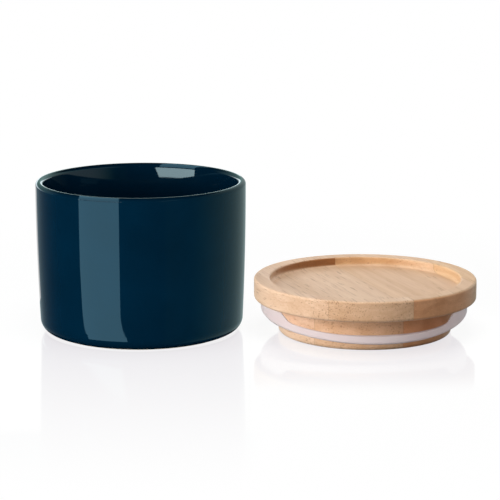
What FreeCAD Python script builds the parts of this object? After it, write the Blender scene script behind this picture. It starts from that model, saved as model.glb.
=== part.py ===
import FreeCAD, Part
import math
import os

# A low stoneware canister with its turned wooden lid lifted off and laid beside it.
# Lengths are in millimetres and angles in degrees. +Z is up and -Y is the front.
# The origin is on the table, under the middle of the jar and the lid together.

# The jar is a slightly flared cup, glazed inside and out, on a bare foot ring.
jar_height = 76.4
rim_radius = 52.7
# The wall, level with the top of the round heel.
wall = 5.2
# The outside draws in by this much from the rim down to the heel.
wall_flare = 1.55
# The wall bows out by this much between the heel and the rim.
wall_crown = 0.4
# The rim is rounded outside by this much, and inside over this width and drop.
rim_outer_round = 2.0
rim_inner_width = 2.1
rim_inner_drop = 1.8
# Inside, the mouth narrows down to one depth and bends into the upright throat at the next.
mouth_depth = 8.0
mouth_narrowing = 0.9
throat_depth = 13.0
throat_narrowing = 0.4
# The round heel starts at this height and ends at the foot, further in by its inset.
heel_height = 6.5
heel_inset = 6.2
floor_thickness = 4.8
inside_cove = 9.0
foot_width = 3.2
foot_height = 0.5
foot_edge_round = 0.3
foot_recess = 1.2

# The lid is one blank of edge-glued staves, turned to a flange, a plug and a tray.
lid_height = 27.3
# The flange stands past the jar's rim by this much.
lid_overhang = 3.3
flange_thickness = 10.4
flange_top_round = 1.2
flange_low_round = 1.6
# The rim of wood round the tray.
tray_rim = 8.0
tray_depth = 4.4
tray_edge_round = 0.9
tray_corner_round = 1.8
# Room between the plug and the jar's throat, which the seal's lip bridges.
plug_clearance = 3.7
plug_low_round = 1.8

# The glue lines between the staves, from the left, as shares of the plug's radius from its middle.
# The last one passes just outside the plug, so the narrow stave on the right is flange alone.
glue_line_shares = (-0.833, 0.06, 1.034)
# The way across the staves, turned from +X. The staves run from the front right to the back left.
across_staves = 19.3

# The seal is a silicone ring in the plug's groove, with one lip that bends as the lid goes in.
groove_height = 6.4
groove_width = 2.6
groove_depth = 2.4
groove_clearance = 0.1
lip_thickness = 1.25
lip_tip_thickness = 0.9
# The lip's edge stands past the jar's throat by this much, and above its own root.
lip_squeeze = 5.1
lip_rise = 2.0

# The lid lies at the jar's right side, a little nearer the front.
lid_gap = 4.1
lid_forward = 3.0

# Cuts run past the solid by this much.
overrun = 2.0

# Heights and radii that follow from the sizes above.
crest_radius = rim_radius - rim_outer_round
mouth_top_radius = crest_radius - rim_inner_width
mouth_low_radius = mouth_top_radius - mouth_narrowing
throat_radius = mouth_low_radius - throat_narrowing
heel_radius = rim_radius - wall_flare
foot_radius = heel_radius - heel_inset
inside_floor = foot_recess + floor_thickness
lid_radius = rim_radius + lid_overhang
plug_radius = throat_radius - plug_clearance
tray_radius = lid_radius - tray_rim
tray_floor = lid_height - tray_depth
flange_underside = lid_height - flange_thickness

# The jar and the lid share the middle of their common box.
box_length = 2 * rim_radius + lid_gap + 2 * lid_radius
jar_x = rim_radius - box_length / 2
lid_x = box_length / 2 - lid_radius
box_back = max(rim_radius, lid_radius - lid_forward)
box_front = max(rim_radius, lid_radius + lid_forward)
jar_y = (box_front - box_back) / 2
lid_y = jar_y - lid_forward


def point(radius, height):
    """A point of a half section, which lies in the XZ plane."""
    return FreeCAD.Vector(radius, 0, height)


def line(start, end):
    return Part.LineSegment(start, end).toShape()


def arc(start, middle, end):
    return Part.Arc(start, middle, end).toShape()


def bowed(low, high, rise):
    """An arc from low up to high whose middle stands off the chord, away from the axis."""
    chord = high - low
    outward = FreeCAD.Vector(chord.z, 0, -chord.x)
    outward.normalize()
    return arc(low, low + chord / 2 + outward * rise, high)


def bowed_direction(low, high, rise):
    """The way that a bowed arc leaves its low end: the chord's way, leaning out a little more."""
    chord = high - low
    lean = 2 * math.atan2(2 * rise, chord.Length)
    turn = FreeCAD.Rotation(FreeCAD.Vector(0, 1, 0), math.degrees(lean))
    return turn.multVec(chord.normalize())


def arc_leaving(start, direction, end):
    """The arc that leaves start along a direction and ends at end."""
    chord = end - start
    along = FreeCAD.Vector(chord)
    along.normalize()
    aside = direction - along * direction.dot(along)
    half_turn = direction.getAngle(chord)
    rise = chord.Length / 2 * math.tan(half_turn / 2)
    aside.normalize()
    return arc(start, start + chord / 2 + aside * rise, end)


def arc_arrival(start, direction, end):
    """The way that the arc leaving start along a direction arrives at end."""
    along = end - start
    along.normalize()
    return along * (2 * direction.dot(along)) - direction


def rounded_outline(corners):
    """Straight edges from corner to corner, each (radius, height, round), with arcs at the rounds."""
    count = len(corners)
    starts = []
    ends = []
    edges = []
    for index, (radius, height, size) in enumerate(corners):
        here = point(radius, height)
        before = point(*corners[index - 1][:2]) - here
        after = point(*corners[(index + 1) % count][:2]) - here
        setback = size / math.tan(before.getAngle(after) / 2)
        before.normalize()
        after.normalize()
        starts.append(here + before * setback)
        ends.append(here + after * setback)
        if size > 0:
            inward = before + after
            inward.normalize()
            centre_distance = math.hypot(size, setback)
            edges.append(arc(starts[-1], here + inward * (centre_distance - size), ends[-1]))
    for index in range(count):
        edges.append(line(ends[index], starts[(index + 1) % count]))
    return edges


def turned(edges, x, y):
    """The solid that a closed half section makes when it turns about an upright axis at x, y."""
    wire = Part.Wire(Part.sortEdges(edges)[0])
    solid = Part.Face(wire).revolve(FreeCAD.Vector(0, 0, 0), FreeCAD.Vector(0, 0, 1), 360)
    solid.translate(FreeCAD.Vector(x, y, 0))
    return solid


def jar_body():
    """The cup: foot ring, round heel, flared wall, rounded rim, narrowing mouth and coved inside."""
    centre_below = point(0, foot_recess)
    foot_inner = foot_radius - foot_width
    recess_corner = point(foot_inner, foot_recess)
    inner_foot_up = point(foot_inner, foot_edge_round)
    inner_foot_in = point(foot_inner + foot_edge_round, 0)
    outer_foot_in = point(foot_radius - foot_edge_round, 0)
    outer_foot_up = point(foot_radius, foot_edge_round)
    foot_top = point(foot_radius, foot_height)
    heel = point(heel_radius, heel_height)
    rim_outside = point(rim_radius, jar_height - rim_outer_round)
    rim_crest = point(crest_radius, jar_height)
    mouth_top = point(mouth_top_radius, jar_height - rim_inner_drop)
    mouth_low = point(mouth_low_radius, jar_height - mouth_depth)
    throat = point(throat_radius, jar_height - throat_depth)
    cove_top = point(heel_radius - wall, inside_floor + inside_cove)
    cove_foot = point(heel_radius - wall - inside_cove, inside_floor)
    centre_above = point(0, inside_floor)
    up_the_wall = bowed_direction(heel, rim_outside, wall_crown)
    level = FreeCAD.Vector(1, 0, 0)
    into_mouth = arc_arrival(rim_crest, -level, mouth_top)
    into_throat = arc_arrival(mouth_top, into_mouth, mouth_low)
    edges = [
        line(centre_below, recess_corner),
        line(recess_corner, inner_foot_up),
        arc_leaving(inner_foot_in, -level, inner_foot_up),
        line(inner_foot_in, outer_foot_in),
        arc_leaving(outer_foot_in, level, outer_foot_up),
        line(outer_foot_up, foot_top),
        arc_leaving(heel, -up_the_wall, foot_top),
        bowed(heel, rim_outside, wall_crown),
        arc_leaving(rim_crest, level, rim_outside),
        arc_leaving(rim_crest, -level, mouth_top),
        arc_leaving(mouth_top, into_mouth, mouth_low),
        arc_leaving(mouth_low, into_throat, throat),
        line(throat, cove_top),
        arc_leaving(cove_foot, level, cove_top),
        line(cove_foot, centre_above),
        line(centre_above, centre_below),
    ]
    return turned(edges, jar_x, jar_y)


def lid_blank():
    """The glued blank as turned: plug with its groove, flange over it and tray on top."""
    groove_low = groove_height - groove_width / 2
    groove_top = groove_height + groove_width / 2
    groove_floor = plug_radius - groove_depth
    corners = [
        (0, 0, 0),
        (plug_radius, 0, plug_low_round),
        (plug_radius, groove_low, 0),
        (groove_floor, groove_low, 0),
        (groove_floor, groove_top, 0),
        (plug_radius, groove_top, 0),
        (plug_radius, flange_underside, 0),
        (lid_radius, flange_underside, flange_low_round),
        (lid_radius, lid_height, flange_top_round),
        (tray_radius, lid_height, tray_edge_round),
        (tray_radius, tray_floor, tray_corner_round),
        (0, tray_floor, 0),
    ]
    return turned(rounded_outline(corners), lid_x, lid_y)


def lid_staves():
    """The blank cut along its glue lines, as one solid for each stave."""
    blank = lid_blank()
    half_length = lid_radius + overrun
    glue_lines = [plug_radius * share for share in glue_line_shares]
    sides = [-half_length] + glue_lines + [half_length]
    staves = []
    for left, right in zip(sides[:-1], sides[1:]):
        corner = FreeCAD.Vector(left, -half_length, -overrun)
        board = Part.makeBox(right - left, 2 * half_length, lid_height + 2 * overrun, corner)
        board.rotate(FreeCAD.Vector(0, 0, 0), FreeCAD.Vector(0, 0, 1), across_staves)
        board.translate(FreeCAD.Vector(lid_x, lid_y, 0))
        staves.append(blank.common(board).Solids[0])
    return staves


def seal_ring():
    """The silicone ring: a square root that fills the groove and a thin lip that curls up from it."""
    root_inner = plug_radius - groove_depth + groove_clearance
    root_outer = plug_radius - groove_clearance
    root_low = groove_height - groove_width / 2 + groove_clearance
    root_top = groove_height + groove_width / 2 - groove_clearance
    lip_radius = throat_radius + lip_squeeze
    tip_height = groove_height + lip_rise
    lip_root_low = point(root_outer, groove_height - lip_thickness / 2)
    lip_root_top = point(root_outer, groove_height + lip_thickness / 2)
    tip_low = point(lip_radius - lip_tip_thickness / 2, tip_height - lip_tip_thickness / 2)
    tip_top = point(lip_radius - lip_tip_thickness / 2, tip_height + lip_tip_thickness / 2)
    level = FreeCAD.Vector(1, 0, 0)
    edges = [
        line(point(root_inner, root_low), point(root_outer, root_low)),
        line(point(root_outer, root_low), lip_root_low),
        arc_leaving(lip_root_low, level, tip_low),
        arc(tip_low, point(lip_radius, tip_height), tip_top),
        arc_leaving(lip_root_top, level, tip_top),
        line(lip_root_top, point(root_outer, root_top)),
        line(point(root_outer, root_top), point(root_inner, root_top)),
        line(point(root_inner, root_top), point(root_inner, root_low)),
    ]
    return turned(edges, lid_x, lid_y)


def write(name, solid):
    solid.exportStep("parts/" + name + ".step")
    box = solid.optimalBoundingBox()
    low = [round(value, 2) for value in (box.XMin, box.YMin, box.ZMin)]
    high = [round(value, 2) for value in (box.XMax, box.YMax, box.ZMax)]
    print(name, "volume", round(solid.Volume), "valid", solid.isValid(), "from", low, "to", high)


os.makedirs("parts", exist_ok=True)
write("jar_body", jar_body())
for number, stave in enumerate(lid_staves(), start=1):
    write("lid_stave_" + str(number), stave)
write("seal_ring", seal_ring())
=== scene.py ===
# %% [markdown]
# # A stoneware canister and its turned lid
# The object is a low cup, glazed petrol blue inside and out, with its wooden lid lying beside it.
# The CAD model already holds every piece at its real size, so this lesson adds what the eye
# asks for: a camera, soft light, a wet-looking glaze, wood that changes with the way it was
# cut, and a silicone seal that no longer lies quite true.

# %% Load the model and read its main sizes
import math

import bpy
import numpy as np
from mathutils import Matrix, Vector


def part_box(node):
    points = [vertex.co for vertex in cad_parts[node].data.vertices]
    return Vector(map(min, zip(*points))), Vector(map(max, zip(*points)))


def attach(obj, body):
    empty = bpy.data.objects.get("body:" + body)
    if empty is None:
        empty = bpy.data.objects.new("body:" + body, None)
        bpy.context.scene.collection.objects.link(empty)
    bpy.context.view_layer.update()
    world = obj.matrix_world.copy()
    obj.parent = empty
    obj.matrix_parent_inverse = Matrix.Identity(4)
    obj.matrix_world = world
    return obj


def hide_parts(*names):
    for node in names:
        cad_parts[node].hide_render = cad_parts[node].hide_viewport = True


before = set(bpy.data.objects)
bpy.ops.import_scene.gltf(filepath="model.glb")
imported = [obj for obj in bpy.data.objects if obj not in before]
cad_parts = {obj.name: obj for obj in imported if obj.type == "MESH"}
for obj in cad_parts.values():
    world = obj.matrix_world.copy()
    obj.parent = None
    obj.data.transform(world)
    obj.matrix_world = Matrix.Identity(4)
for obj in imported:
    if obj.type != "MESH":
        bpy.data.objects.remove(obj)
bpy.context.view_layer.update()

MM = 0.001


def middle(low, high):
    """The point halfway between two corners."""
    return (np.array(low) + np.array(high)) / 2


jar_low, jar_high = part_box("jar_body")
seal_low, seal_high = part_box("seal_ring")
JAR_AXIS = middle(jar_low, jar_high)[:2]
LID_AXIS = middle(seal_low, seal_high)[:2]
RIM_RADIUS = (jar_high[0] - jar_low[0]) / 2
JAR_HEIGHT = jar_high[2]
STAVES = sorted(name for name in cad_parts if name.startswith("lid_stave"))
print("jar axis", JAR_AXIS, "lid axis", LID_AXIS, "rim radius", RIM_RADIUS, "staves", STAVES)

# %% [markdown]
# Colours are chosen as the sRGB hex values that a screen shows, but shaders count in linear
# light. One function turns one into the other. A second one adds a node, gives it its settings
# and joins its inputs, so that a whole material reads as a short list.

# %% Helpers for colours and nodes


def linear(hex_colour):
    """The linear RGBA of an sRGB hex colour, by the sRGB curve: a power of 2.4 above the toe."""
    share = np.array([int(hex_colour[i:i + 2], 16) for i in (1, 3, 5)]) / 255
    low = share / 12.92
    high = ((share + 0.055) / 1.055) ** 2.4
    return (*np.where(share <= 0.04045, low, high), 1.0)


def add(tree, kind, settings=None, inputs=None, **named):
    """Adds a node. An input, by name or number, is a value or another node's socket, which gets linked."""
    node = tree.nodes.new(kind)
    for name, value in (settings or {}).items():
        setattr(node, name, value)
    for key, value in {**(inputs or {}), **named}.items():
        if isinstance(value, bpy.types.NodeSocket):
            tree.links.new(value, node.inputs[key])
        else:
            node.inputs[key].default_value = value
    return node


def maths(tree, operation, *values):
    """A Math node's result."""
    return add(tree, "ShaderNodeMath", {"operation": operation}, dict(enumerate(values))).outputs[0]


def smooth_step(tree, value, low, high):
    """0 at low, 1 at high, and a smooth S between them."""
    ends = {"From Min": low, "From Max": high}
    return add(tree, "ShaderNodeMapRange", {"interpolation_type": "SMOOTHSTEP"}, ends, Value=value).outputs[0]


def mixed(tree, share, first, second, blend="MIX"):
    """A colour between two, or the first one changed by the second as the blend says."""
    sockets = {0: share, 6: first, 7: second}
    return add(tree, "ShaderNodeMix", {"data_type": "RGBA", "blend_type": blend}, sockets).outputs[2]


def ramp(tree, value, *stops):
    """A colour ramp over a value, with (place, colour) stops."""
    node = add(tree, "ShaderNodeValToRGB", Fac=value)
    elements = node.color_ramp.elements
    while len(elements) < len(stops):
        elements.new(1.0)
    for element, (place, colour) in zip(elements, stops):
        element.position = place
        element.color = colour
    return node.outputs["Color"]


def noise(tree, place, scale, detail=2.0):
    """Noise from about 0.25 to 0.75 with about scale lumps to each unit of the place."""
    return add(tree, "ShaderNodeTexNoise", Vector=place, Scale=scale, Detail=detail).outputs[0]


def new_tree(name):
    """A new material, its empty node tree and its output node."""
    material = bpy.data.materials.new(name)
    material.use_nodes = True
    material.node_tree.nodes.clear()
    return material, material.node_tree, material.node_tree.nodes.new("ShaderNodeOutputMaterial")


# %% [markdown]
# The photograph was taken from a little above, with a long lens. Its upright lines stay
# parallel, so the camera looked level and its lens was shifted down by nearly a whole frame.
# Seen from any other side, such a shift would throw the object out of the picture. So this
# camera stands in the same place, found by fitting the rims and the lid, and is turned down
# to look at the object. The upright lines then lean by a pixel or so, and reflections,
# which depend on the place alone, stay as they were.

# %% The camera
CAMERA_PLACE = (-0.00325, -1.1018, 0.2729)
CAMERA_TILT = math.radians(11.883)
FOCAL_LENGTH = 161.23
SENSOR_WIDTH = 36.0

scene = bpy.context.scene
camera_data = bpy.data.cameras.new("camera")
camera_data.lens = FOCAL_LENGTH
camera_data.sensor_width = SENSOR_WIDTH
camera = bpy.data.objects.new("camera", camera_data)
camera.location = CAMERA_PLACE
camera.rotation_euler = (math.radians(90) - CAMERA_TILT, 0, 0)
scene.collection.objects.link(camera)
scene.camera = camera
scene.view_settings.view_transform = "Standard"
print("camera", CAMERA_PLACE, "lens", FOCAL_LENGTH, "turned down by", CAMERA_TILT)

# %% [markdown]
# The cup is a solid of revolution, so its surface is one half section turned about the axis.
# The half section is built from short arcs and lines, each worked out from a real size in
# millimetres, and the turning is one outer product of the radii with the cosines and sines of
# the angles. A modelled cylinder with a bevel would be quicker, but the lip would be wrong: its
# wide inner round and its flared mouth are what catch the light in the picture.

# %% Tools for a turned surface


def stretch(start, end, steps):
    """Points on a straight line, without its last one."""
    t = np.linspace(0, 1, steps, endpoint=False)[:, None]
    return np.array(start) * (1 - t) + np.array(end) * t


def round_from(start, way, end, steps):
    """Points on the circle that leaves start along a way and passes through end, without end.

    The chord makes an angle h with the way, so the arc turns by 2h on a radius of
    half the chord over sin h.
    """
    start, end = np.array(start, float), np.array(end, float)
    way = np.array(way, float) / np.hypot(*way)
    chord = end - start
    turn = 2 * math.atan2(way[0] * chord[1] - way[1] * chord[0], way @ chord)
    radius = np.hypot(*chord) / (2 * math.sin(turn / 2))
    side = np.array((-way[1], way[0]))
    angle = np.linspace(0, turn, steps, endpoint=False)[:, None]
    return start + radius * (np.sin(angle) * way + (1 - np.cos(angle)) * side)


def arrival(start, way, end):
    """The way that the arc leaving start along a way has at its end: the way mirrored in the chord."""
    chord = np.array(end, float) - np.array(start, float)
    chord /= np.hypot(*chord)
    return 2 * (chord @ np.array(way, float)) * chord - way


def grid_faces(rows, columns, closed_rows=False):
    """Quads between neighbours of a grid of points whose columns close into rings."""
    i, j = np.meshgrid(np.arange(rows if closed_rows else rows - 1), np.arange(columns), indexing="ij")
    up, on = (i + 1) % rows, (j + 1) % columns
    corners = (i * columns + j, i * columns + on, up * columns + on, up * columns + j)
    return np.stack(corners, 2).reshape(-1, 4).tolist()


def new_piece(name, points, faces, body, nodes):
    """A smooth mesh that rides on a body and stands for CAD nodes, which it hides."""
    mesh = bpy.data.meshes.new(name)
    mesh.from_pydata(np.asarray(points).tolist(), [], faces)
    mesh.shade_smooth()
    piece = bpy.data.objects.new(name, mesh)
    scene.collection.objects.link(piece)
    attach(piece, body)
    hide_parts(*nodes)
    print(name, len(points), "points,", len(faces), "faces")
    return piece


# %% [markdown]
# The half section runs from the middle of the recess under the foot, out round the foot ring
# and the heel, up the wall, over the lip, down inside and back to the axis. The wall leans out
# by 1.55 mm and bows by 0.4 mm, so the stripe of light on it bends a little. Below the lip the
# mouth narrows on a slope of some 8 degrees, which is what lets the far side mirror a window.

# %% The jar's surface
WALL = 5.2 * MM
WALL_FLARE = 1.55 * MM
WALL_CROWN = 0.4 * MM
RIM_OUTER_ROUND = 2.0 * MM
RIM_INNER_WIDTH = 2.1 * MM
RIM_INNER_DROP = 1.8 * MM
MOUTH_DEPTH = 8.0 * MM
MOUTH_NARROWING = 0.9 * MM
THROAT_DEPTH = 13.0 * MM
THROAT_NARROWING = 0.4 * MM
HEEL_HEIGHT = 6.5 * MM
HEEL_INSET = 6.2 * MM
FLOOR_THICKNESS = 4.8 * MM
INSIDE_COVE = 9.0 * MM
FOOT_WIDTH = 3.2 * MM
FOOT_HEIGHT = 0.5 * MM
FOOT_ROUND = 0.3 * MM
FOOT_RECESS = 1.2 * MM
RING_STEPS = 384

heel_radius = RIM_RADIUS - WALL_FLARE
foot_radius = heel_radius - HEEL_INSET
foot_inner = foot_radius - FOOT_WIDTH
inside_floor = FOOT_RECESS + FLOOR_THICKNESS
inside_radius = heel_radius - WALL
rim_side = (RIM_RADIUS, JAR_HEIGHT - RIM_OUTER_ROUND)
crest = (RIM_RADIUS - RIM_OUTER_ROUND, JAR_HEIGHT)
mouth_top = (crest[0] - RIM_INNER_WIDTH, JAR_HEIGHT - RIM_INNER_DROP)
mouth_low = (mouth_top[0] - MOUTH_NARROWING, JAR_HEIGHT - MOUTH_DEPTH)
throat = (mouth_low[0] - THROAT_NARROWING, JAR_HEIGHT - THROAT_DEPTH)
into_mouth = arrival(crest, (-1, 0), mouth_top)
into_throat = arrival(mouth_top, into_mouth, mouth_low)

wall_height = rim_side[1] - HEEL_HEIGHT
wall_steepness = math.atan2(wall_height, WALL_FLARE) - 2 * math.atan2(2 * WALL_CROWN, math.hypot(WALL_FLARE, wall_height))
heel_way = np.array((math.cos(wall_steepness), math.sin(wall_steepness)))
heel = (heel_radius, HEEL_HEIGHT)
foot_top = (foot_radius, FOOT_HEIGHT)
cove_top = (inside_radius, inside_floor + INSIDE_COVE)
cove_foot = (inside_radius - INSIDE_COVE, inside_floor)

outside = np.concatenate([
    round_from(heel, -heel_way, foot_top, 28)[:0:-1],
    round_from(heel, heel_way, rim_side, 40),
    round_from(rim_side, (0, 1), crest, 20),
])
mouth = np.concatenate([
    round_from(crest, (-1, 0), mouth_top, 24),
    round_from(mouth_top, into_mouth, mouth_low, 12),
])
half_section = np.concatenate([
    stretch((0, FOOT_RECESS), (foot_inner, FOOT_RECESS), 12),
    stretch((foot_inner, FOOT_RECESS), (foot_inner, FOOT_ROUND), 3),
    round_from((foot_inner, FOOT_ROUND), (0, -1), (foot_inner + FOOT_ROUND, 0), 5),
    stretch((foot_inner + FOOT_ROUND, 0), (foot_radius - FOOT_ROUND, 0), 5),
    round_from((foot_radius - FOOT_ROUND, 0), (1, 0), (foot_radius, FOOT_ROUND), 5),
    stretch((foot_radius, FOOT_ROUND), foot_top, 3),
    [foot_top],
    outside,
    mouth,
    round_from(mouth_low, into_throat, throat, 12),
    stretch(throat, cove_top, 30),
    round_from(cove_top, (0, -1), cove_foot, 24),
    stretch(cove_foot, (0, inside_floor), 14),
])


def turned(section, axis, steps):
    """Points of a half section (radius, height) turned about an upright axis.

    Point (i, j) is the section's point i at angle j: x and y are the radius times the
    cosine and sine of the angle.
    """
    angle = np.linspace(0, 2 * math.pi, steps, endpoint=False)
    x = axis[0] + np.outer(section[:, 0], np.cos(angle))
    y = axis[1] + np.outer(section[:, 0], np.sin(angle))
    z = np.repeat(section[:, 1:], steps, 1)
    return np.stack([x, y, z], 2).reshape(-1, 3)


rings = half_section[1:]
low_pole, high_pole = len(rings) * RING_STEPS, len(rings) * RING_STEPS + 1
jar_points = np.concatenate([turned(rings, JAR_AXIS, RING_STEPS),
                             [(*JAR_AXIS, FOOT_RECESS), (*JAR_AXIS, inside_floor)]])
j = np.arange(RING_STEPS)
following = (j + 1) % RING_STEPS
last_ring = (len(rings) - 1) * RING_STEPS
low_cap = np.stack([np.full(RING_STEPS, low_pole), following, j], 1).tolist()
high_cap = np.stack([np.full(RING_STEPS, high_pole), last_ring + j, last_ring + following], 1).tolist()
jar_faces = grid_faces(len(rings), RING_STEPS) + low_cap + high_cap
jar = new_piece("glazed_jar", jar_points, jar_faces, "jar", ["jar_body"])
print("throat radius", throat[0] / MM, "mm")

# %% [markdown]
# The glaze is a glass: it has the index of glass, 1.5, and is almost mirror-smooth, over a
# blue so deep that the red has nearly gone. The foot ring is wiped clean before firing, so it
# shows the buff clay. The border between the two wanders a little, as a wiped edge does.

# %% The glaze and the bare foot
GLAZE_LINE = 0.25 * MM
GLAZE_WANDER = 0.3 * MM

glaze, tree, output = new_tree("petrol_glaze_on_stoneware")
place = add(tree, "ShaderNodeTexCoord").outputs["Object"]
height = add(tree, "ShaderNodeSeparateXYZ", Vector=place).outputs[2]
line = maths(tree, "MULTIPLY_ADD", noise(tree, place, 120.0), GLAZE_WANDER, GLAZE_LINE)
bare = maths(tree, "LESS_THAN", height, line)
blue = ramp(tree, noise(tree, place, 45.0, 3.0), (0.3, linear("#02263C")), (0.7, linear("#022A42")))
clay = ramp(tree, noise(tree, place, 1500.0, 3.0), (0.35, linear("#DDD2BE")), (0.65, linear("#F0E8D8")))
coat = add(tree, "ShaderNodeBsdfPrincipled", None, {"Base Color": mixed(tree, bare, blue, clay)},
           IOR=1.5, Roughness=maths(tree, "MULTIPLY_ADD", bare, 0.75, 0.03))
tree.links.new(coat.outputs[0], output.inputs["Surface"])
jar.data.materials.append(glaze)

# %% [markdown]
# The lid is glued up from four staves and then turned, so the same straight grain shows as long
# streaks on the tray, as dots of open pores where the lathe cut across it, and as something
# between on the rest. A solid texture gives all of that at once: it is worked out in space, long
# along the grain and narrow across it, and the turned surface just cuts through it.

# %% The wood of the staves
GRAIN_TURN = math.radians(19.3)
GRAIN_WAY = (-math.sin(GRAIN_TURN), math.cos(GRAIN_TURN), 0)
PORE_WIDTH = 0.4
PORE_LENGTH = 8.0
RING_WIDTH = 3.2
BLOTCH_WIDTH = 7.0
GLUE_LINES = (-36.32, 2.62, 45.08)
GLUE_WIDTH = 0.12


def rubberwood(number, dark, light, pith, near_end, far_end, pores):
    """Oiled rubberwood for one stave, in board coordinates: X across, Y along the grain, Z up, in mm.

    The growth rings are noise over the distance from the pith, fibres and pores are noise that
    is drawn out along the grain, and cut ends turn darker. The end that faces the front turns
    darker by near_end where the board begins, and by far_end where it stops. Part of that is oil
    soaked up by the end grain, and part is painted shade on the tray's far wall and the flange's right.
    """
    material, tree, output = new_tree("oiled_rubberwood_" + str(number))
    place = add(tree, "ShaderNodeTexCoord")
    centred = add(tree, "ShaderNodeVectorMath", {"operation": "SUBTRACT"}, {0: place.outputs["Object"], 1: (*LID_AXIS, 0)})
    board = add(tree, "ShaderNodeMapping", Vector=centred.outputs[0], Scale=(1000, 1000, 1000),
                Rotation=(0, 0, -GRAIN_TURN)).outputs[0]
    along = add(tree, "ShaderNodeMapping", Vector=board, Scale=(1, 0.04, 1), Location=(31 * number, 0, 17 * number)).outputs[0]
    across, length, height = add(tree, "ShaderNodeSeparateXYZ", Vector=board).outputs
    bend = noise(tree, along, 0.07, 2.0)
    off_pith = add(tree, "ShaderNodeCombineXYZ", X=maths(tree, "SUBTRACT", across, pith[0]), Y=maths(tree, "SUBTRACT", height, pith[1]))
    distance = add(tree, "ShaderNodeVectorMath", {"operation": "LENGTH"}, {0: off_pith.outputs[0]}).outputs["Value"]
    distance = maths(tree, "MULTIPLY_ADD", bend, 14.0, distance)
    rings = add(tree, "ShaderNodeTexNoise", {"noise_dimensions": "1D"}, W=maths(tree, "DIVIDE", distance, RING_WIDTH),
                Scale=1.0, Detail=3.0).outputs[0]
    fibres = noise(tree, along, 1.6, 4.0)
    figure = maths(tree, "ADD", maths(tree, "MULTIPLY", rings, 0.45), maths(tree, "MULTIPLY", fibres, 0.55))
    tone = ramp(tree, figure, (0.33, linear(dark)), (0.66, linear(light)))
    blotches = ramp(tree, noise(tree, along, 1 / BLOTCH_WIDTH, 3.0), (0.36, linear("#F4EFE8")), (0.6, linear("#FFFFFF")))
    tone = mixed(tree, 1.0, tone, blotches, "MULTIPLY")
    facing = add(tree, "ShaderNodeVectorMath", {"operation": "DOT_PRODUCT"}, {0: place.outputs["Normal"], 1: GRAIN_WAY})
    cut_across = smooth_step(tree, maths(tree, "ABSOLUTE", facing.outputs["Value"]), 0.45, 0.9)
    # Partly painted shade: the end grain darkens towards near_end and far_end, partly as oil-soaked end grain and
    # partly as painted shade on the tray's far wall and the right of the flange front.
    end_grain_and_shade = mixed(tree, smooth_step(tree, length, -20.0, 25.0), (*near_end, 1.0), (*far_end, 1.0))
    tone = mixed(tree, cut_across, tone, end_grain_and_shade, "MULTIPLY")
    pore_place = add(tree, "ShaderNodeMapping", Vector=board, Scale=(1, PORE_WIDTH / PORE_LENGTH, 1)).outputs[0]
    holes = noise(tree, pore_place, 1 / (1.6 * PORE_WIDTH), 0.0)
    patches = maths(tree, "MULTIPLY", maths(tree, "SUBTRACT", noise(tree, board, 0.11, 1.0), 0.5), 0.22)
    holes = maths(tree, "ADD", maths(tree, "ADD", holes, patches), pores)
    holes = smooth_step(tree, holes, 0.66, 0.74)
    tone = mixed(tree, maths(tree, "MULTIPLY", holes, 0.4), tone, linear("#7A4E2C"))
    glue = 1.0
    for line in GLUE_LINES:
        near = smooth_step(tree, maths(tree, "ABSOLUTE", maths(tree, "SUBTRACT", across, line)), 0.0, GLUE_WIDTH)
        glue = maths(tree, "MULTIPLY", glue, near)
    tone = mixed(tree, maths(tree, "MULTIPLY_ADD", glue, -0.5, 0.5), tone, linear("#7A5230"))
    bump = add(tree, "ShaderNodeBump", Height=maths(tree, "SUBTRACT", 1.0, holes), Distance=0.08 * MM, Strength=1.0)
    skin = add(tree, "ShaderNodeBsdfPrincipled", None, {"Base Color": tone, "Normal": bump.outputs[0]}, Roughness=0.48)
    tree.links.new(skin.outputs[0], output.inputs["Surface"])
    return material


# The end colours are partly painted shade. The dark far ends of staves 1 and 2 stand for the shade on the tray's far
# wall, and the darker, warmer near ends of staves 3 and 4 stand for the shade on the right of the flange front.
WOODS = {
    "lid_stave_1": rubberwood(1, "#D3B094", "#E3C6AC", (-90, -30), (0.97, 0.9, 0.82), (0.52, 0.3, 0.16), -0.03),
    "lid_stave_2": rubberwood(2, "#D0AD8F", "#E0C2A6", (-20, 95), (0.96, 0.88, 0.8), (0.5, 0.29, 0.15), -0.01),
    "lid_stave_3": rubberwood(3, "#CFAB8B", "#DEBD9D", (35, -75), (1.0, 0.75, 0.6), (0.92, 0.78, 0.6), -0.08),
    "lid_stave_4": rubberwood(4, "#CCA57E", "#DCB992", (75, 60), (1.0, 0.8, 0.66), (0.84, 0.64, 0.43), -0.06),
}
for name in STAVES:
    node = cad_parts[name]
    node.data.materials.clear()
    node.data.materials.append(WOODS[name])
print("wood on", STAVES)

# %% [markdown]
# The seal is a soft ring pressed into the plug's groove. Its lip is thin, and after some use
# it no longer lies true: its outer edge stays bent up, and at the sides the whole lip has
# curled up until it touches the flange. The lip is a strip swept round the plug. At each angle its middle
# line is an arc that leaves the groove level, then a short bend, then an upright edge. The
# height of the bend is a sum of three cosines of the angle.

# %% The seal
LIP_ROOT_HEIGHT = 6.4 * MM
PLUG_RADIUS = 43.6 * MM
LIP_ROOT_HALF = 0.62 * MM
LIP_TIP_HALF = 0.45 * MM
LIP_BEND = 1.1 * MM
LIP_EDGE = 3.3 * MM
FLANGE_UNDERSIDE = 16.9 * MM
LIP_TOP_GAP = 0.2 * MM
ROOT_INNER = PLUG_RADIUS - 2.3 * MM
ROOT_HALF = 1.2 * MM
ARC_STEPS, BEND_STEPS, EDGE_STEPS, TIP_STEPS = 20, 8, 5, 7


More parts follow.
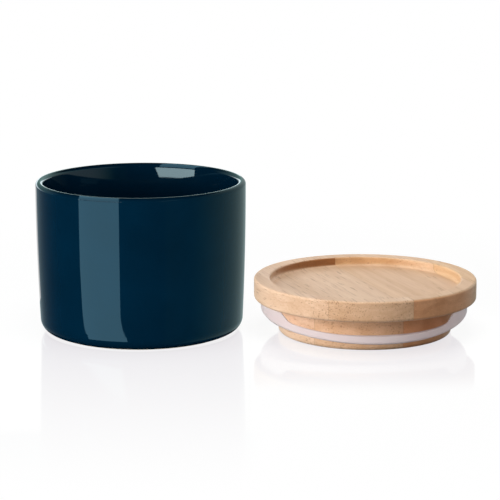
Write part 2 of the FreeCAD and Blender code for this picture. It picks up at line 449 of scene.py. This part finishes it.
def bend_height(left_of_front):
    """How far the lip's bend stands over its root: low in front, highest past the sides, in metres."""
    a = (left_of_front + math.pi) % (2 * math.pi) - math.pi
    share = 0.625 - 0.36 * np.cos(a) - 0.375 * np.cos(2 * a) + 0.110 * np.cos(3 * a)
    droop = 0.8 * np.maximum(np.cos(1.2 * a), 0) * (1 - 0.8 * np.sin(a))
    return (-0.2 + 5.6 * share + 0.3 * np.sin(a) - droop) * MM


def edge_length(left_of_front, rise):
    """How tall the upright edge is: plain in front, and from some 55 degrees on as tall as the flange allows."""
    a = np.degrees(abs((left_of_front + math.pi) % (2 * math.pi) - math.pi))
    share = np.interp(a, (46, 50, 55, 60, 110, 160), (0, 0.15, 0.75, 1, 1, 0))
    room = FLANGE_UNDERSIDE - LIP_TOP_GAP - LIP_ROOT_HEIGHT - LIP_TIP_HALF - rise
    return LIP_EDGE + share * np.maximum(room - LIP_EDGE, 0)


def middle_line(rise, reach, edge):
    """The lip's middle line, out and up from its root, for arrays of bend heights, whole reaches and edge lengths.

    The arc through (r, rise) turns by t = 2 atan(rise / r). The bend of radius b then turns
    on from t to upright, so the whole reach is r + b (1 - sin t).
    """
    r = reach - LIP_BEND
    for _ in range(4):
        t = 2 * np.arctan2(rise, r)
        r = reach - LIP_BEND * (1 - np.sin(t))
    part = t * np.linspace(0, 1, ARC_STEPS, endpoint=False)[:, None]
    radius = np.hypot(rise, r) / (2 * np.sin(t / 2))
    arc = np.stack([radius * np.sin(part), radius * (1 - np.cos(part))])
    part = t + (math.pi / 2 - t) * np.linspace(0, 1, BEND_STEPS)[:, None]
    bend = np.stack([r + LIP_BEND * (np.sin(part) - np.sin(t)), rise + LIP_BEND * (np.cos(t) - np.cos(part))])
    top = bend[:, -1:]
    left = np.maximum(edge - (top[1, 0] - rise), 0.3 * MM)
    edge = top + np.stack([0 * left, left])[:, None] * np.linspace(0, 1, EDGE_STEPS + 1)[1:, None]
    return np.concatenate([arc, bend, edge], 1)


angle = np.linspace(0, 2 * math.pi, RING_STEPS, endpoint=False)
rise = bend_height(-angle - math.pi / 2)
rise = np.where(abs(rise) < 1e-5, 1e-5, rise)
reach = (51.9 - 0.5 * np.cos(angle) + 0.1 * np.cos(2 * angle)) * MM - LIP_TIP_HALF - PLUG_RADIUS
line = middle_line(rise, reach, edge_length(-angle - math.pi / 2, rise))
way = np.gradient(line, axis=1)
way /= np.hypot(*way)
half = np.linspace(LIP_ROOT_HALF, LIP_TIP_HALF, line.shape[1])[:, None]
under = line + half * np.stack([way[1], -way[0]])
over = line - half * np.stack([way[1], -way[0]])
round_tip = np.linspace(0, math.pi, TIP_STEPS)[1:-1, None]
tip = line[:, -1:] + LIP_TIP_HALF * np.stack([np.cos(round_tip), np.sin(round_tip)]) * np.ones(RING_STEPS)
root = np.array([(0, ROOT_HALF), (ROOT_INNER - PLUG_RADIUS, ROOT_HALF), (ROOT_INNER - PLUG_RADIUS, -ROOT_HALF), (0, -ROOT_HALF)])
root = np.repeat(root.T[:, :, None], RING_STEPS, 2)
ribbon = np.concatenate([under, tip, over[:, ::-1], root], 1) + np.array([PLUG_RADIUS, LIP_ROOT_HEIGHT])[:, None, None]
x = LID_AXIS[0] + ribbon[0] * np.cos(angle)
y = LID_AXIS[1] + ribbon[0] * np.sin(angle)
seal_points = np.stack([x, y, ribbon[1]], 2).reshape(-1, 3)
seal_faces = grid_faces(ribbon.shape[1], RING_STEPS, True)
seal = new_piece("curled_seal", seal_points, seal_faces, "lid", ["seal_ring"])
print("lip from", seal_points[:, 2].min() / MM, "to", seal_points[:, 2].max() / MM, "mm high")

# %% [markdown]
# Clear silicone is never quite clear: light goes in, scatters and comes out a little further
# on, so it looks milky and its thin edges glow.

# %% The silicone
milky, tree, output = new_tree("milky_silicone")
skin = add(tree, "ShaderNodeBsdfPrincipled", None,
           {"Base Color": linear("#D9CBCE"), "Subsurface Weight": 0.35, "Subsurface Radius": (0.006, 0.005, 0.005),
            "Subsurface Scale": 1.0}, Roughness=0.45, IOR=1.41)
tree.links.new(skin.outputs[0], output.inputs["Surface"])
seal.data.materials.append(milky)

# %% [markdown]
# The floor is a white sweep with a faint polish. A camera ray finds it white, whatever the
# lamps do, with the pieces' dim mirror image, which fades towards the camera as it does in the
# picture, and to the sides and the back, where only other views see it. Just under the jar's heel
# the polish is drawn weak, which paints a thin light line there: a painted reflection of the pale
# foot. The other rays find a plain matt floor, which throws light back up under the lid. The jar
# in the picture mirrors a dark surround, so the floor stays out of its gloss.

# %% The floor
FLOOR_HALF = 6.0
FLOOR_MIRROR = (0.17, 0.19, 0.165)
FLOOR_MATT = 0.4
SHADE = 0.12
SHADE_LIGHT = 0.088

floor_mesh = bpy.data.meshes.new("floor")
sweep = [(-FLOOR_HALF, -FLOOR_HALF, 0), (FLOOR_HALF, -FLOOR_HALF, 0), (FLOOR_HALF, FLOOR_HALF, 0), (-FLOOR_HALF, FLOOR_HALF, 0)]
floor_mesh.from_pydata(sweep, [], [(0, 1, 2, 3)])
floor = bpy.data.objects.new("floor", floor_mesh)
scene.collection.objects.link(floor)
floor.visible_glossy = False

floor_material, tree, output = new_tree("white_sweep")
place = add(tree, "ShaderNodeTexCoord").outputs["Object"]
east, north, _ = add(tree, "ShaderNodeSeparateXYZ", Vector=place).outputs
fading = add(tree, "ShaderNodeMapRange", None, {"From Min": -0.27, "From Max": -0.03}, Value=north).outputs[0]
fading = maths(tree, "POWER", fading, 1.5)
near = maths(tree, "MULTIPLY", fading, smooth_step(tree, north, 0.055, 0.0))
near = maths(tree, "MULTIPLY", near, smooth_step(tree, maths(tree, "ABSOLUTE", east), 0.15, 0.112))
by_the_lid = maths(tree, "MULTIPLY", smooth_step(tree, east, -0.01, 0.005), smooth_step(tree, north, -0.085, -0.125))
near = maths(tree, "MULTIPLY", near, maths(tree, "SUBTRACT", 1.0, by_the_lid))
off_axis = add(tree, "ShaderNodeVectorMath", {"operation": "DISTANCE"}, {0: place, 1: (*JAR_AXIS, 0)}).outputs["Value"]
# Painted reflection: in a ring just under the heel the mirror is cut to three tenths, so the floor shows a thin light
# line for the pale foot.
painted_foot_reflection = smooth_step(tree, off_axis, foot_radius + 4.5 * MM, foot_radius + 3.0 * MM)
near = maths(tree, "MULTIPLY", near, maths(tree, "MULTIPLY_ADD", painted_foot_reflection, -0.7, 1.0))
mirror = mixed(tree, near, (0, 0, 0, 1), (*FLOOR_MIRROR, 1))
white = mixed(tree, near, (1, 1, 1, 1), (*(1 - share for share in FLOOR_MIRROR), 1))
matt = add(tree, "ShaderNodeBsdfDiffuse", Color=(FLOOR_MATT, FLOOR_MATT, FLOOR_MATT, 1))
polish = add(tree, "ShaderNodeBsdfGlossy", Color=mirror, Roughness=0.06)
off_middle = add(tree, "ShaderNodeVectorMath", {"operation": "LENGTH"}, {0: place}).outputs["Value"]
shaded = smooth_step(tree, off_middle, 0.32, 0.16)
bright = add(tree, "ShaderNodeEmission", Color=white, Strength=maths(tree, "MULTIPLY_ADD", shaded, -SHADE_LIGHT, 1.0))
shade = add(tree, "ShaderNodeBsdfDiffuse", Color=mixed(tree, shaded, (0, 0, 0, 1), (SHADE, SHADE, SHADE, 1)))
seen = add(tree, "ShaderNodeAddShader", None, {0: bright.outputs[0], 1: polish.outputs[0]})
seen = add(tree, "ShaderNodeAddShader", None, {0: seen.outputs[0], 1: shade.outputs[0]})
path = add(tree, "ShaderNodeLightPath")
looked_at = maths(tree, "MAXIMUM", path.outputs["Is Camera Ray"], path.outputs["Is Glossy Ray"])
looked_at = maths(tree, "MAXIMUM", looked_at, path.outputs["Is Transmission Ray"])
both = add(tree, "ShaderNodeMixShader", None, {0: looked_at, 1: matt.outputs[0], 2: seen.outputs[0]})
tree.links.new(both.outputs[0], output.inputs["Surface"])
floor_mesh.materials.append(floor_material)

# %% [markdown]
# A glossy dark pot shows its surroundings more than its own colour. The room behind the camera
# is dark, and pale walls stand behind. The world's nodes paint that room by direction. Below
# the table's edge it stays dim, because the jar's upright wall mirrors what lies a little
# below its own height. It shows in gloss alone, and the lamps do the lighting.

# %% The room
world = bpy.data.worlds.new("studio")
scene.world = world
world.use_nodes = True
tree = world.node_tree
tree.nodes.clear()
way = add(tree, "ShaderNodeTexCoord").outputs["Generated"]
east, north, up = add(tree, "ShaderNodeSeparateXYZ", Vector=way).outputs


def lobe(azimuth, power, strength):
    """A soft pale wall: strength times the cosine of the angle from an azimuth, to a power."""
    a = math.radians(azimuth)
    aim = add(tree, "ShaderNodeVectorMath", {"operation": "DOT_PRODUCT"}, {0: way, 1: (-math.sin(a), -math.cos(a), 0)})
    near = maths(tree, "MAXIMUM", aim.outputs["Value"], 0.0)
    return maths(tree, "MULTIPLY", maths(tree, "POWER", near, power), strength)


below = maths(tree, "ADD", lobe(-150, 2.5, 0.38), lobe(170, 3.0, 0.27))
below = mixed(tree, 1.0, below, (0.78, 1.04, 1.12, 1), "MULTIPLY")
right = maths(tree, "MULTIPLY", smooth_step(tree, east, 0.3, 0.7), smooth_step(tree, up, 0.6, 0.45))
left = maths(tree, "MULTIPLY", smooth_step(tree, east, -0.9, -0.97), smooth_step(tree, up, 0.03, 0.0))
behind = maths(tree, "MULTIPLY", smooth_step(tree, north, 0.5, 0.9), smooth_step(tree, up, 0.15, 0.1))
back_wall = maths(tree, "MULTIPLY", smooth_step(tree, north, 0.1, 0.6), smooth_step(tree, up, 0.65, 0.35))
above = mixed(tree, right, (0.004, 0.006, 0.008, 1), (0.32, 0.6, 0.62, 1))
above = mixed(tree, left, above, (0.02, 0.3, 0.43, 1))
wall_sheen = mixed(tree, smooth_step(tree, east, -0.2, 0.2), (0.2, 0.36, 0.34, 1), (0.5, 0.8, 0.78, 1))
above = mixed(tree, back_wall, above, wall_sheen)
above = mixed(tree, behind, above, (1.7, 2.0, 2.1, 1))
horizon = maths(tree, "GREATER_THAN", up, -0.02)
colour = mixed(tree, horizon, below, above)
path = add(tree, "ShaderNodeLightPath").outputs
colour = mixed(tree, path["Is Camera Ray"], colour, (1, 1, 1, 1))
seen = maths(tree, "MAXIMUM", path["Is Camera Ray"], path["Is Glossy Ray"])
background = add(tree, "ShaderNodeBackground", Color=colour, Strength=maths(tree, "MAXIMUM", seen, 0.02))
output = add(tree, "ShaderNodeOutputWorld", Surface=background.outputs[0])

# %% [markdown]
# The stripe on the jar and the sharp patch inside its mouth are mirror images of a tall panel
# and a window. Both are cards that only gloss sees. The stripe's card is found by following the
# camera's rays: each point of the jar from the heel to the lip, between the stripe's two edges,
# throws its ray at one point of the card. The edges swing to the right near the heel, as they
# do in the picture. The window is found in the same way from the far side of the mouth, whose
# slope sends the rays out over the near rim. The picture was merged from two exposures, for
# the jar shows no lid in its side. A flag, a card set edge-on between the two pieces, keeps
# the lid out of it.

# %% Cards for the gloss
CARD_STEPS = 33


def glow(name, colour, one_sided=False):
    """A material that only shines, and that lamps' sampling ignores. A one-sided one is clear from behind."""
    material, tree, output = new_tree(name)
    material.cycles.emission_sampling = "NONE"
    shine = add(tree, "ShaderNodeEmission", Color=(*colour, 1), Strength=1.0).outputs[0]
    if one_sided:
        behind = add(tree, "ShaderNodeNewGeometry").outputs["Backfacing"]
        clear = add(tree, "ShaderNodeBsdfTransparent").outputs[0]
        shine = add(tree, "ShaderNodeMixShader", None, {0: behind, 1: shine, 2: clear}).outputs[0]
    tree.links.new(shine, output.inputs["Surface"])
    return material


def gloss_only(name, points, faces, material):
    """A stage mesh that shows in reflections and nowhere else."""
    mesh = bpy.data.meshes.new(name)
    mesh.from_pydata(np.asarray(points).tolist(), [], faces)
    mesh.materials.append(material)
    thing = bpy.data.objects.new(name, mesh)
    scene.collection.objects.link(thing)
    thing.visible_camera = False
    thing.visible_diffuse = False
    thing.visible_transmission = False
    thing.visible_shadow = False
    return thing


def sheet_faces(rows, columns):
    """Quads between neighbours of a grid of points that stays open on all sides."""
    i, j = np.meshgrid(np.arange(rows - 1), np.arange(columns - 1), indexing="ij")
    corner = (i * columns + j).reshape(-1)
    return np.stack([corner, corner + 1, corner + columns + 1, corner + columns], 1).tolist()


def mirrored(turn, radius, height, lean, distance):
    """Points where the camera's rays end after the jar mirrors them.

    A normal n points to the camera's side, turned left about the jar's axis and leaning up.
    The wall stands a radius along it from the axis, or behind the axis where that is negative.
    A ray d leaves as d - 2 (d . n) n, and the point lies a distance along it from the jar.
    """
    level = np.stack([-np.sin(turn), -np.cos(turn), 0 * turn], 2)
    n = level * np.cos(lean)[..., None] + (0, 0, 1) * np.sin(lean)[..., None]
    start = level * radius[..., None] + (*JAR_AXIS, 0) + height[..., None] * (0, 0, 1)
    d = start - CAMERA_PLACE
    d /= np.linalg.norm(d, axis=2, keepdims=True)
    leaving = d - 2 * np.sum(d * n, 2, keepdims=True) * n
    return (start + distance * leaving).reshape(-1, 3)


STRIPE = (0.80, 1.75, 2.25)
STRIPE_FOOT = 5.25 * MM
radius, height = outside.T
lean = np.arctan2(-np.gradient(radius), np.gradient(height))
for name, kept in (("stripe", (height > STRIPE_FOOT) & (lean < math.radians(6))),
                   ("stripe_on_the_rim", (lean > math.radians(10)) & (lean < math.radians(76)))):
    r, z, upward = (values[kept, None] for values in (radius, height, lean))
    right_edge = np.interp(z / MM, (5.2, 8.8, 11.7, 15.0, 18.0), (4.9, 6.7, 7.75, 8.5, 8.8))
    left_edge = np.interp(z / MM, (5.2, 7.2, 10.7, 17.9, 40.0), (27.4, 28.9, 30.4, 31.1, 31.8))
    turn = np.radians(right_edge + (left_edge - right_edge) * np.linspace(0, 1, CARD_STEPS))
    gloss_only(name, mirrored(turn, r, z, upward, 1.3), sheet_faces(len(turn), CARD_STEPS), glow(name, STRIPE))

WINDOW = (4.6, 6.4, 6.8)
WINDOW_FOOT = 7.3 * MM
radius, height = mouth.T
lean = np.arctan2(-np.gradient(radius), -np.gradient(height))
kept = (height > JAR_HEIGHT - WINDOW_FOOT) & (lean < math.radians(9.4))
r, z, upward = (values[kept, None] for values in (-radius, height, lean))
right_edge = np.interp((JAR_HEIGHT - z) / MM, (1.5, 1.8, 3.5, 7.3), (3.0, 6.0, 7.0, 9.0))
turn = np.radians(right_edge + (32.5 - right_edge) * np.linspace(0, 1, CARD_STEPS))
gloss_only("window", mirrored(turn, r, z, upward, 1.1), sheet_faces(len(turn), CARD_STEPS), glow("window", WINDOW))

backdrop = [(0.14, 0.06, 0), (-0.14, 0.06, 0), (-0.14, 0.06, 0.072), (0.14, 0.06, 0.072)]
gloss_only("backdrop", backdrop, [(3, 2, 1, 0)], glow("backdrop", (1, 1, 1), True))
# Painted shade: a black disc just under the jar, seen only in gloss, so the heel mirrors darkness where the floor
# beneath it lies in shade.
a = np.radians(np.arange(0, 360, 10))
under = np.stack([JAR_AXIS[0] + 51 * MM * np.cos(a), JAR_AXIS[1] + 51 * MM * np.sin(a), 0 * a - 0.5 * MM], 1)
gloss_only("painted_shade_under_the_heel", under, [tuple(range(len(a)))], glow("painted_shade_under_the_heel", (0, 0, 0)))

flag_material = glow("flag", (1, 1, 1))
tree = flag_material.node_tree
shine = tree.nodes["Emission"]
place = add(tree, "ShaderNodeTexCoord").outputs["Object"]
north = add(tree, "ShaderNodeSeparateXYZ", Vector=place).outputs[1]
fade = smooth_step(tree, north, -0.065, 0.01)
tree.links.new(mixed(tree, fade, (0.35, 1.0, 0.7, 1), (0.82, 1.08, 1.08, 1)), shine.inputs["Color"])
tree.links.new(maths(tree, "MULTIPLY_ADD", fade, 0.42, 0.03), shine.inputs["Strength"])
flag_x = (jar_high[0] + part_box("lid_stave_1")[0][0]) / 2
flag_points = [(flag_x, -0.12, -0.12), (flag_x, 0.12, -0.12), (flag_x, 0.12, 0.1), (flag_x, -0.12, 0.1)]
gloss_only("flag", flag_points, [(0, 1, 2, 3)], flag_material)

# %% [markdown]
# Each piece has its own softbox from the left, as in the two exposures, so the jar throws no
# shadow on the lid. A wide lamp overhead fills the tray. The lamps stay out of the gloss,
# because the cards draw the reflections.

# %% The lamps
SUBJECT = np.array((0.0, 0.0, 0.04))


def softbox(name, azimuth, elevation, distance, width, height, radiance, colour):
    """A rectangular lamp that faces the subject. Its power is radiance times area times pi."""
    lamp = bpy.data.lights.new(name, "AREA")
    lamp.shape = "RECTANGLE"
    lamp.size = width
    lamp.size_y = height
    lamp.energy = radiance * width * height * math.pi
    lamp.color = linear(colour)[:3]
    a, e = math.radians(azimuth), math.radians(elevation)
    away = np.array((-math.sin(a) * math.cos(e), -math.cos(a) * math.cos(e), math.sin(e)))
    thing = bpy.data.objects.new(name, lamp)
    thing.location = SUBJECT + distance * away
    thing.rotation_euler = (math.radians(90) - e, 0, -a)
    thing.visible_glossy = False
    scene.collection.objects.link(thing)
    return thing


def only_for(lamp, receivers, blockers):
    """Lets a lamp light some pieces only, and lets only some pieces shade them from it."""
    for role, pieces in (("receiver_collection", receivers), ("blocker_collection", blockers)):
        group = bpy.data.collections.new(lamp.name + "_" + role)
        for piece in pieces:
            group.objects.link(piece)
        setattr(lamp.light_linking, role, group)


lid_wood = [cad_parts[name] for name in STAVES]
lid_pieces = lid_wood + [seal]
for name, azimuth, elevation, radiance in (("key_for_lid", 56, 12, 11.0), ("left_for_lid", 95, 10, 1.0),
                                           ("right_for_lid", -108, 12, 2.3), ("front_for_lid", 0, 15, 1.6)):
    lamp = softbox(name, azimuth, elevation, 1.2, 0.8, 0.6, radiance, "#FFFCF8")
    only_for(lamp, lid_wood if name == "left_for_lid" else lid_pieces, lid_wood)
overhead = softbox("overhead", 0, 85, 1.4, 1.0, 1.0, 4.7, "#FFFFFF")
only_for(overhead, lid_pieces + [floor], lid_wood + [jar])
fill_for_seal = softbox("fill_for_seal", -50, 8, 1.2, 0.8, 0.6, 1.8, "#FFF8F4")
only_for(fill_for_seal, [seal], lid_wood)
for name, azimuth, elevation, radiance in (("key_for_jar", 70, 8, 6.4), ("front_for_jar", -15, 10, 5.3)):
    lamp = softbox(name, azimuth, elevation, 1.2, 0.8, 0.5, radiance, "#FFFFFF")
    only_for(lamp, [jar, floor] if name == "key_for_jar" else [jar], [jar])
back = softbox("back", 180, 12, 1.4, 1.2, 0.6, 3.2, "#FFFFFF")
only_for(back, lid_pieces + [jar], lid_wood + [jar])
